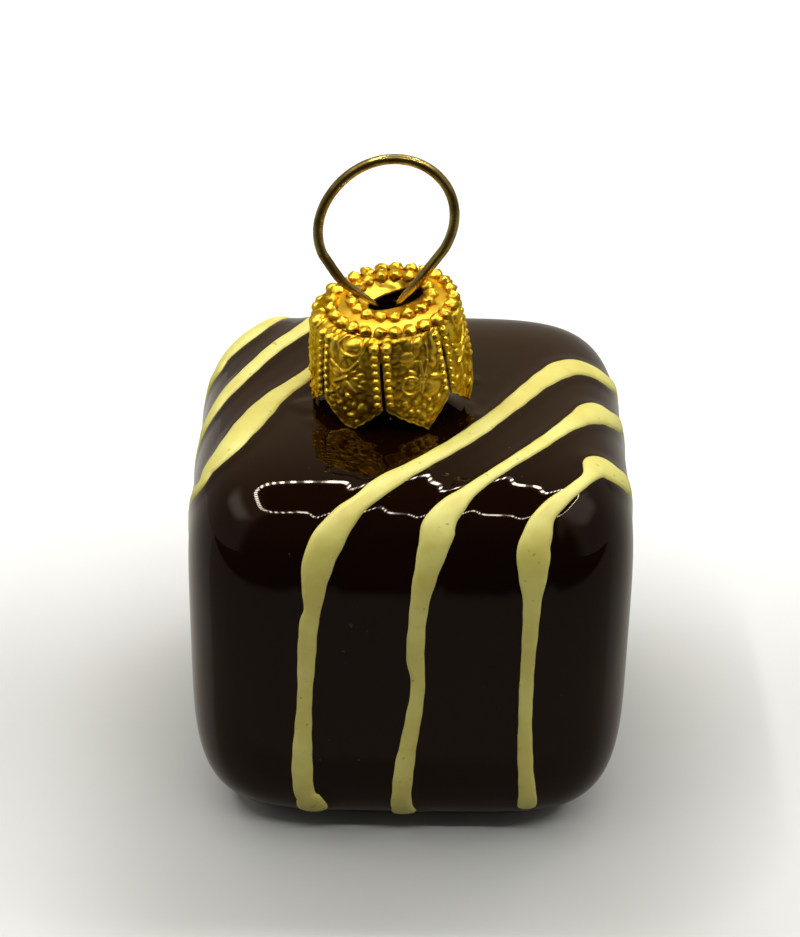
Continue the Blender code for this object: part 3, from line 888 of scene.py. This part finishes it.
def petal(number, material):
    """One petal of the skirt between two slits, with its stamped relief."""
    columns = 92
    rows = 132
    side = np.linspace(-1.0, 1.0, columns)[None, :]
    down = np.linspace(0.0, 1.0, rows)[:, None]
    middle = math.radians(FIRST_PETAL + number * 360 / PETALS)
    reach_over = math.pi / PETALS
    heights, radii = zip(*reversed(SKIRT))
    scallop = SCALLOP_DEPTH * np.abs(np.sin(np.abs(side) * math.pi * SCALLOPS))
    skew = TIP_SKEWS[number % 2]
    from_tip = np.where(side > skew, (side - skew) / (1 - skew), (skew - side) / (1 + skew))
    bottom = PETAL_BOTTOM + (SLIT_FOOT - PETAL_BOTTOM) * from_tip**TIP_POWER - scallop
    azimuth = middle + side * reach_over
    foot = np.stack((radii[0] * np.cos(azimuth), radii[0] * np.sin(azimuth), bottom), axis=-1)
    bottom = np.maximum(bottom, bottom + SEAT_HEIGHT - stand(foot)[..., 2])
    top = SKIRT[0][0]
    height = top + (bottom - top) * down
    radius = np.interp(height, heights, radii)
    half = radius * reach_over
    gap = SLIT_WIDTH / 2 * np.clip((SLIT_TOP - height) / 0.25, 0.0, 1.0) ** 0.5
    across = side * (half - gap)
    lifted = height - ORNAMENT_LIFT
    rise = petal_relief(across, lifted, half, height - bottom, number % 2)
    rise = np.maximum(rise, pebbles(across, lifted, number))
    rise *= np.clip((top - height) / RELIEF_FADE, 0.0, 1.0)
    roll = EDGE_ROLL * np.clip(1 - (half - np.abs(across)) / EDGE_ROLL_WIDTH, 0.0, 1.0) ** 2
    warp = SHEET_WARP * np.sin(across * 2.3 + number) * np.sin(height * 1.7 + 2 * number)
    azimuth = middle + across / radius
    slope = np.interp(height, heights, np.gradient(radii, heights))
    proud = rise + (warp - roll) * down
    reach = radius + proud / np.hypot(1.0, slope)
    level = height - slope * proud / np.hypot(1.0, slope)
    shift = PLATE_SHIFT * plate_share(height)
    points = np.stack((shift + reach * np.cos(azimuth), reach * np.sin(azimuth), level), axis=-1)
    faces = grid_faces(rows, columns)
    piece = add_piece(f"petal_{number}", stand(points).reshape(-1, 3), faces, material)
    # Painted shade: the ground between the stamped marks gets the dark gilt colour, the marks the
    # bright one
    store_gilt_shade(piece, (rise / UNSHADED_GILT_RISE + 0.05).reshape(-1))
    return piece


def store_gilt_shade(piece, values):
    """Keep with each point how bright the gilt is painted, from 0 in painted shade to 1; on the
    petals it follows how far the point stands out of the sheet.
    """
    attribute = piece.data.attributes.new("proud", "FLOAT", "POINT")
    attribute.data.foreach_set("value", np.clip(values, 0.0, 1.0).astype(np.float32))


def cap_top(material):
    """The top: a sloping band, and inside it a dish with the oval slot in its floor."""
    turn = 2 * math.pi * np.arange(RING_POINTS) / RING_POINTS - math.radians(SLOT_TURN)
    slot = 1 / np.hypot(np.cos(turn) / SLOT_HALF_LENGTH, np.sin(turn) / SLOT_HALF_WIDTH)
    profile = (
        (4.6, 7.38, 0.0),
        (4.5, 7.46, 0.0),
        (4.24, 7.58, 0.0),
        (3.9, 7.7, 0.0),
        (3.6, 7.8, 0.0),
        (3.3, 7.88, 0.0),
        (3.0, 7.93, 0.0),
        (2.75, 7.93, 0.0),
        (2.62, 7.88, 0.0),
        (2.55, 7.8, 0.06),
        (2.5, 7.68, 0.2),
        (2.5, 7.56, 0.42),
        (2.5, 7.45, 0.66),
        (2.5, 7.36, 0.87),
        (2.5, 7.3, 1.0),
        (2.5, 7.1, 1.0),
    )
    rings = []
    proud = []
    for radius, height, oval in profile:
        share = plate_share(height) if radius > OUTER_BEAD_RING else 1.0
        centre = (PLATE_SHIFT * share + SLOT_SHIFT[0] * oval, SLOT_SHIFT[1] * oval)
        rings.append(circle(radius * (1 - oval) + slot * oval, height, centre))
        # Painted shade: the top's gilt darkens towards each bead ring, where the beads shade it
        from_beads = min(abs(radius - OUTER_BEAD_RING), abs(radius - INNER_BEAD_RING))
        unshaded = min(from_beads / BEAD_SHADE_REACH, 0.9)
        proud.extend([unshaded + 0.1] * RING_POINTS)
    points = stand(np.concatenate(rings))
    faces = grid_faces(len(rings), RING_POINTS, wrap_columns=True)
    top = add_piece("cap_top", points, faces, material)
    store_gilt_shade(top, np.array(proud))
    return top


def drift(place):
    """A smooth vector that is the same for a place in every run."""
    place = Vector(place)
    return Vector([noise.noise(place + offset) for offset in DRIFT_OFFSETS])


def beads(name, count, ring, height, material):
    """A ring of stamped beads, each a little different."""
    shape = bmesh.new()
    proud = []
    for number in range(count):
        azimuth = math.pi + 2 * math.pi * (number + 0.5) / count
        jitter = drift((number * 1.7, ring, height))
        place = (PLATE_SHIFT + ring * math.cos(azimuth), ring * math.sin(azimuth), height)
        place = stand(np.array(place) + np.array(jitter) * BEAD_SHIFT)
        size = BEAD_DIAMETER / 2 * (1 + BEAD_SIZE_VARIATION * jitter.x)
        turn = Matrix.Rotation(azimuth + 0.5 * jitter.y, 3, "Z")
        for vertex in bmesh.ops.create_icosphere(shape, subdivisions=3, radius=1.0)["verts"]:
            measure = sum(abs(share) ** STUD_POWER for share in vertex.co) ** (1 / STUD_POWER)
            stud = turn @ (vertex.co / measure)
            stud += drift(stud * STUD_WAVES + Vector(place)) * STUD_UNEVEN
            # Painted light and shade: each bead's upper side gets the bright gilt, its lower side
            # the dark brown
            proud.append(0.05 + 0.95 * stud.z)
            stud.z *= STUD_FLATNESS
            vertex.co = (Vector(place) + stud * size) * MM
    mesh = bpy.data.meshes.new(name)
    shape.to_mesh(mesh)
    shape.free()
    mesh.materials.append(material)
    mesh.shade_smooth()
    piece = bpy.data.objects.new(name, mesh)
    bpy.context.scene.collection.objects.link(piece)
    store_gilt_shade(piece, np.array(proud))
    return piece


def gilt_cap(material):
    sheets = [petal(number, material) for number in range(PETALS)]
    cap = join("gilt_cap", [cap_top(material), *sheets])
    thickness = cap.modifiers.new("Sheet", "SOLIDIFY")
    thickness.thickness = SHEET * MM
    thickness.offset = -1.0
    with bpy.context.temp_override(object=cap, active_object=cap):
        bpy.ops.object.modifier_apply(modifier="Sheet")
    trim = [
        beads("outer_beads", OUTER_BEADS, OUTER_BEAD_RING, OUTER_BEAD_HEIGHT, material),
        beads("inner_beads", INNER_BEADS, INNER_BEAD_RING, INNER_BEAD_HEIGHT, material),
    ]
    return join("gilt_cap", [cap, *trim])


def brass_loop(material):
    first, last = LOOP_ENDS
    azimuth = np.radians(np.linspace(first, last, round((last - first) / LOOP_STEP)))
    reach = LOOP_RADIUS + LOOP_OVAL * np.cos(2 * azimuth - 2 * math.radians(LOOP_OVAL_AZIMUTH))
    ring = LOOP_MIDDLE + np.stack(
        (reach * np.cos(azimuth), np.zeros_like(azimuth), reach * np.sin(azimuth)), axis=-1
    )
    depth = LOOP_MIDDLE[1]
    right_leg = [
        (0.0, depth, 31.2),
        (-1.05, depth + 0.1, 35.6),
        (-1.25, depth + 0.2, 36.8),
        (-0.95, depth + 0.1, 37.7),
        (0.4, depth, 39.5),
        ring[0],
    ]
    left_leg = [
        ring[-1],
        (-5.2, depth, 39.3),
        (-4.3, depth, 38.5),
        (-3.4, depth, 37.85),
        (-2.75, depth + 0.1, 37.25),
        (-2.5, depth + 0.2, 36.5),
        (-2.5, depth + 0.1, 35.6),
        (-3.3, depth, 31.2),
    ]
    step = math.radians(LOOP_STEP) * LOOP_RADIUS
    start = smooth_route(right_leg, step)[:-1]
    end = smooth_route(left_leg, step)[1:]
    route = np.concatenate((start, ring, end))
    thin = np.interp(route[:, 2], (WIRE_THIN_FOOT, WIRE_THIN_TOP), (WIRE_THIN_SHARE, 1.0))
    points, faces = tube(route, WIRE_DIAMETER / 2 * thin, WIRE_SIDES)
    return add_piece("brass_loop", points, faces, material)


def floor():
    """A pale sheet with painted light: white far behind the ornament and light grey before it, as
    the lamps light it, and nearer an even light grey far to the sides and far in front, which leaves
    painted shade close beside the ornament.

    Only the ornament sees the rest, which is painted shade: the sheet turns nearly black a little
    before the ornament, where the tent is open and unlit, and is painted shaded beside and behind
    it. In every view the sheet goes on pale.
    """
    material, nodes, shader = new_material("floor_paper")
    place = nodes.add("ShaderNodeSeparateXYZ")
    nodes.link(nodes.add("ShaderNodeNewGeometry").outputs["Position"], place.inputs[0])
    across = place.outputs["X"]
    depth = place.outputs["Y"]
    near_grey = rgb(0.51, 0.515, 0.50)
    far_white = rgb(0.88, 0.88, 0.88)
    outer_white = rgb(0.8, 0.8, 0.8)
    # Painted light: grey before the ornament and white behind it, evened out further to the sides
    # and in front
    paper = nodes.mix(nodes.ramp(depth, -0.005, 0.04), near_grey, far_white)
    outer = nodes.ramp(nodes.absolute(across), 0.014, 0.03, 0.0, 0.5)
    outer = nodes.math("MAXIMUM", outer, nodes.ramp(depth, -0.14, -0.07, 0.8, 0.0))
    paper = nodes.mix(outer, paper, outer_white)
    # Painted shade, seen only in reflections: shaded beside and behind the ornament, darker before
    # it, nearly black where the tent is open
    shaded_left = rgb(0.30, 0.34, 0.365)
    shaded_right = rgb(0.235, 0.265, 0.285)
    shaded_front = rgb(0.21, 0.21, 0.205)
    open_dark = rgb(0.02, 0.018, 0.015)
    before = nodes.mix(nodes.ramp(depth, -0.072, -0.058, 1.0, 0.0), shaded_front, open_dark)
    beside = nodes.mix(nodes.ramp(across, -0.01, 0.01), shaded_left, shaded_right)
    reflected = nodes.mix(nodes.ramp(depth, -0.016, -0.012), before, beside)
    seen = nodes.add("ShaderNodeLightPath").outputs["Is Camera Ray"]
    nodes.link(nodes.mix(seen, reflected, paper), shader["Base Color"])
    shader["Roughness"].default_value = 0.9
    shader["Specular IOR Level"].default_value = 0.1
    bpy.ops.mesh.primitive_plane_add(size=FLOOR_SIZE, location=(0.0, 0.0, 0.0))
    sheet = bpy.context.object
    sheet.name = "floor"
    sheet.data.materials.append(material)


def lamp_strip(nodes, u, v, overhead):
    """Brightness of a rounded oblong of small lamps, and the dark ceiling inside it."""
    from_middle_u = nodes.absolute(nodes.math("SUBTRACT", u, LAMP_MIDDLE[0]))
    from_middle_v = nodes.absolute(nodes.math("SUBTRACT", v, LAMP_MIDDLE[1]))
    across = nodes.math("ADD", from_middle_u, LAMP_CORNER - LAMP_HALF[0])
    deep = nodes.math("ADD", from_middle_v, LAMP_CORNER - LAMP_HALF[1])
    larger = nodes.math("MAXIMUM", across, deep)
    outside = nodes.math(
        "SQRT",
        nodes.math(
            "ADD",
            nodes.math("POWER", nodes.math("MAXIMUM", across, 0.0), 2.0),
            nodes.math("POWER", nodes.math("MAXIMUM", deep, 0.0), 2.0),
        ),
    )
    inside = nodes.math("MINIMUM", larger, 0.0)
    distance = nodes.math("SUBTRACT", nodes.math("ADD", outside, inside), LAMP_CORNER)
    strip = nodes.ramp(nodes.absolute(distance), 0.02, 0.03, 1.0, 0.0)
    waves = 2 * math.pi / LAMP_SPACING
    dots_u = nodes.math("SINE", nodes.math("MULTIPLY", u, waves))
    dots_v = nodes.math("SINE", nodes.math("MULTIPLY", v, waves))
    runs_across = nodes.math("GREATER_THAN", deep, across)
    runs_back = nodes.math("SUBTRACT", 1.0, runs_across)
    dots = nodes.math("ADD", nodes.product(runs_across, dots_u), nodes.product(runs_back, dots_v))
    power = nodes.ramp(v, -0.5, 0.2, *LAMP_POWER)
    lamps = nodes.product(strip, overhead, nodes.ramp(dots, -0.2, 0.6, 0.05, 1.15), power)
    hole = nodes.product(nodes.ramp(larger, LAMP_CORNER - 0.1, LAMP_CORNER, 1.0, 0.0), overhead)
    return lamps, hole


def front_opening(nodes, x, y, z):
    """Where the tent is open in front: from just above the lamps down to the floor."""
    forward = nodes.math("MULTIPLY", y, -1.0)
    front = nodes.math("MAXIMUM", forward, LEAST_SHARE)
    rise = nodes.math("DIVIDE", z, front)
    wide = nodes.absolute(nodes.math("DIVIDE", x, front))
    return nodes.product(
        nodes.ramp(wide, 0.7, 1.2, 1.0, 0.0),
        nodes.ramp(rise, 1.6, 2.0, 1.0, 0.0),
        nodes.math("GREATER_THAN", forward, LEAST_SHARE),
    )


def side_panels(nodes, x, z, v):
    """Brightness of a soft panel on each side, the left one a little stronger."""
    slope = nodes.math("DIVIDE", nodes.absolute(x), nodes.math("MAXIMUM", z, HORIZON))
    from_middle = nodes.absolute(nodes.math("ADD", v, 0.1))
    return nodes.product(
        nodes.ramp(slope, 0.7, 1.0),
        nodes.ramp(slope, 1.1, 1.7, 1.0, 0.0),
        nodes.ramp(from_middle, 0.3, 0.8, 1.0, 0.0),
        nodes.ramp(x, -0.1, 0.1, 1.5, 1.0),
    )


def studio():
    """A white light tent: pale walls, an open dark front, and a strip of small lamps above.

    Directions are taken as u and v, across and back on a level ceiling one unit up.
    """
    world = bpy.data.worlds.new("light_tent")
    bpy.context.scene.world = world
    world.use_nodes = True
    nodes = Nodes(world.node_tree)
    way = nodes.add("ShaderNodeSeparateXYZ")
    nodes.link(nodes.add("ShaderNodeTexCoord").outputs["Generated"], way.inputs[0])
    x, y, z = way.outputs
    above = nodes.math("MAXIMUM", z, LEAST_SHARE)
    u = nodes.math("DIVIDE", x, above)
    v = nodes.math("DIVIDE", y, above)
    overhead = nodes.math("GREATER_THAN", z, HORIZON)
    lamps, hole = lamp_strip(nodes, u, v, overhead)
    dark = nodes.math("MAXIMUM", front_opening(nodes, x, y, z), hole)
    back_wall = rgb(0.47, 0.41, 0.31)
    side_wall = rgb(0.30, 0.30, 0.295)
    low_wall = rgb(0.34, 0.345, 0.345)
    open_dark = rgb(0.04, 0.036, 0.03)
    sideways = nodes.ramp(nodes.absolute(x), 0.35, 0.95)
    walls = nodes.mix(sideways, back_wall, side_wall)
    walls = nodes.mix(nodes.ramp(z, 0.0, 0.45), low_wall, walls)
    walls = nodes.mix(dark, walls, open_dark)
    lit = nodes.math("ADD", lamps, side_panels(nodes, x, z, v))
    glow = nodes.add("ShaderNodeCombineColor")
    for socket, share in zip(glow.inputs, LAMP_TINT):
        nodes.link(nodes.math("MULTIPLY", lit, share), socket)
    total = nodes.add("ShaderNodeMix", data_type="RGBA", blend_type="ADD")
    total.inputs[0].default_value = 1.0
    nodes.link(walls, total.inputs[6])
    nodes.link(glow.outputs[0], total.inputs[7])
    seen = nodes.add("ShaderNodeLightPath").outputs["Is Camera Ray"]
    backdrop = nodes.mix(seen, total.outputs[2], rgb(1.0, 1.0, 1.0))
    nodes.link(backdrop, nodes.tree.nodes["Background"].inputs["Color"])
    world.cycles.sampling_method = "MANUAL"
    world.cycles.sample_map_resolution = 2048


def camera():
    elevation = math.radians(VIEW_ELEVATION)
    forward = np.array((0.0, math.cos(elevation), -math.sin(elevation)))
    upward = np.array((0.0, math.sin(elevation), math.cos(elevation)))
    right = np.array((1.0, 0.0, 0.0))
    rolled_right = right * math.cos(VIEW_ROLL) + upward * math.sin(VIEW_ROLL)
    rolled_up = upward * math.cos(VIEW_ROLL) - right * math.sin(VIEW_ROLL)
    place = (VIEW_TARGET - forward * VIEW_DISTANCE) * MM
    lens = bpy.data.cameras.new("camera")
    lens.lens = FOCAL_LENGTH
    lens.clip_start = 0.005
    viewer = bpy.data.objects.new("camera", lens)
    columns = (*rolled_right, 0.0), (*rolled_up, 0.0), (*(-forward), 0.0), (*place, 1.0)
    viewer.matrix_world = Matrix(columns).transposed()
    bpy.context.scene.collection.objects.link(viewer)
    bpy.context.scene.camera = viewer


def main():
    routes = icing_routes()
    body = glass_body(routes, lacquer_material())
    lines = icing(routes, icing_material())
    cap = gilt_cap(gilt_material())
    loop = brass_loop(brass_material())
    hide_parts("bonbon")
    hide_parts("bonbon")
    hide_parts("crown_cap")
    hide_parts("wire_loop")
    slots = ((body, "dark_lacquer"), (lines, "icing"), (cap, "gold_sheet"), (loop, "aged_brass"))
    for piece, slot in slots:
        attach(piece, "root")
    floor()
    studio()
    camera()
    bpy.context.scene.view_settings.view_transform = "Standard"


main()
